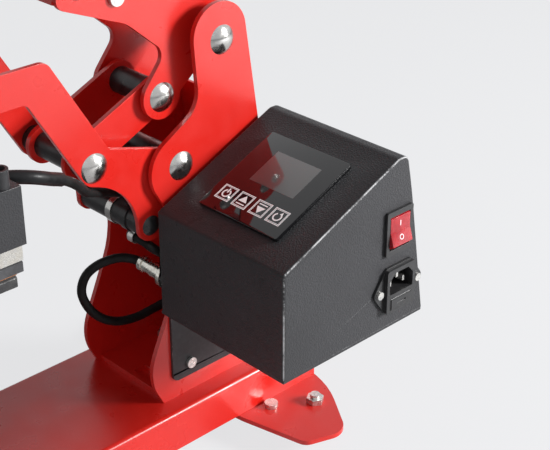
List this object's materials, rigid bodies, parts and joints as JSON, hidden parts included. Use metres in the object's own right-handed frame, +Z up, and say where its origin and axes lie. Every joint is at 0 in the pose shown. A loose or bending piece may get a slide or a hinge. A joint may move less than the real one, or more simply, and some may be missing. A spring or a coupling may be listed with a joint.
{
  "type": "cap heat press",
  "caption": "Clamshell cap heat press: toggle lever linkage, curved heating platen over a padded cradle, and a side control box.",
  "frame": {"origin": "on the table, under the middle of the press's outline seen from above; the frame's middle plane is X = -25.5 mm", "axes": "+Z up; the user stands on the -Y side, and the control box is on the +X side"},
  "size_m": [0.3116, 0.405, 0.4719],
  "materials": {
    "base_black": "black powder coat",
    "frame_red": "glossy red powder coat",
    "box_black": "fine black powder coat",
    "sleeve_black": "satin black",
    "pin_chrome": "polished",
    "zinc": "bright zinc plate",
    "foot_rubber": "black rubber",
    "pad_silicone": "orange silicone",
    "cradle_steel": "plain steel",
    "grip_black": "black moulded grip",
    "wool": "white ceramic wool board",
    "clamp_alu": "dark sheet",
    "element": "silicone heater mat",
    "platen_alu": "dark non-stick coat",
    "cutout": "plain",
    "panel_glass": "black printed glass with a grey display",
    "board": "green circuit board",
    "inlet_black": "black",
    "rocker_red": "translucent red",
    "nickel": "nickel plate",
    "cable_black": "black cable with shrink tube"
  },
  "bodies": {
    "frame": {"base_channel": "frame_red", "foot_plates": "frame_red", "rubber_feet": "foot_rubber", "foot_studs": "zinc", "right_upright": "frame_red", "left_upright": "frame_red", "rear_web": "frame_red", "frame_floor": "frame_red", "base_bolts": "zinc", "lever_pivot_bolt": "pin_chrome", "arm_pivot_bolt": "pin_chrome", "pivot_spacers": "sleeve_black", "cradle_post": "base_black", "cradle_plate": "cradle_steel", "cradle_pad": "pad_silicone", "box_shell": "box_black", "box_bottom": "box_black", "box_bracket": "base_black", "box_screws": "zinc", "control_glass": "panel_glass", "control_board": "board", "power_inlet": "inlet_black", "rocker_switch": "inlet_black", "cable_connector": "nickel", "heater_cable": "cable_black"},
    "arm": {"right_arm": "frame_red", "left_arm": "frame_red", "arm_sleeves": "sleeve_black", "cross_sleeves": "sleeve_black", "cross_collar": "pin_chrome", "arm_pins": "pin_chrome", "screw_block": "sleeve_black", "block_bolts": "zinc", "cable_clip": "zinc", "platen_cable": "cable_black"},
    "lever": {"right_lever": "frame_red", "left_lever": "frame_red", "lever_spacers": "sleeve_black", "toggle_pin": "pin_chrome", "handle_socket": "sleeve_black", "handle_bolts": "zinc", "handle_tube": "pin_chrome", "handle_grip": "grip_black"},
    "link": {"right_link": "frame_red", "left_link": "frame_red", "link_sleeves": "sleeve_black", "link_pin": "zinc"},
    "screw": {"pressure_screw": "zinc", "pressure_knob": "grip_black"},
    "platen": {"platen_hanger": "sleeve_black", "platen_cover": "box_black", "insulation": "wool", "clamp_plate": "clamp_alu", "heating_element": "element", "heat_platen": "platen_alu", "collars": "grip_black", "platen_screws": "zinc", "thermal_cutout": "cutout"},
    "rocker": {"rocker": "rocker_red"},
    "fuse_drawer": {"fuse_drawer": "inlet_black"}
  },
  "joints": [
    {"name": "arm_lift", "type": "hinge", "parent": "frame", "child": "arm", "pos_m": [-0.0255, 0.0785, 0.2457], "axis": [1, 0, 0], "range_deg": [-40, 0], "deforming": ["heater_cable"]},
    {"name": "lever_swing", "type": "hinge", "parent": "frame", "child": "lever", "pos_m": [-0.0255, 0.1197, 0.3301], "axis": [1, 0, 0], "range_deg": [-80, 0]},
    {"name": "link_swing", "type": "hinge", "parent": "lever", "child": "link", "pos_m": [-0.0255, 0.0753, 0.2949], "axis": [1, 0, 0], "range_deg": [0, 112.5]},
    {"name": "screw_turn", "type": "hinge", "parent": "arm", "child": "screw", "pos_m": [-0.0255, -0.1215, 0.36], "axis": [0, 0, 1], "range_deg": [0, 1440]},
    {"name": "platen_slide", "type": "slide", "parent": "arm", "child": "platen", "axis": [0, 0, 1], "range_m": [0, 0.008], "deforming": ["platen_cable"]},
    {"name": "rocker_tilt", "type": "hinge", "parent": "frame", "child": "rocker", "pos_m": [0.1445, 0.1635, 0.2132], "axis": [0, 1, 0], "range_deg": [0, 18]},
    {"name": "fuse_drawer_slide", "type": "slide", "parent": "frame", "child": "fuse_drawer", "axis": [1, 0, 0], "range_m": [0, 0.018]}
  ],
  "couplings": [
    {"joint": "lever_swing", "follows": "arm_lift", "ratio": 2},
    {"joint": "link_swing", "follows": "arm_lift", "ratio": -2.81},
    {"joint": "screw_turn", "follows": "platen_slide", "rad_per_m": 3141.6}
  ]
}
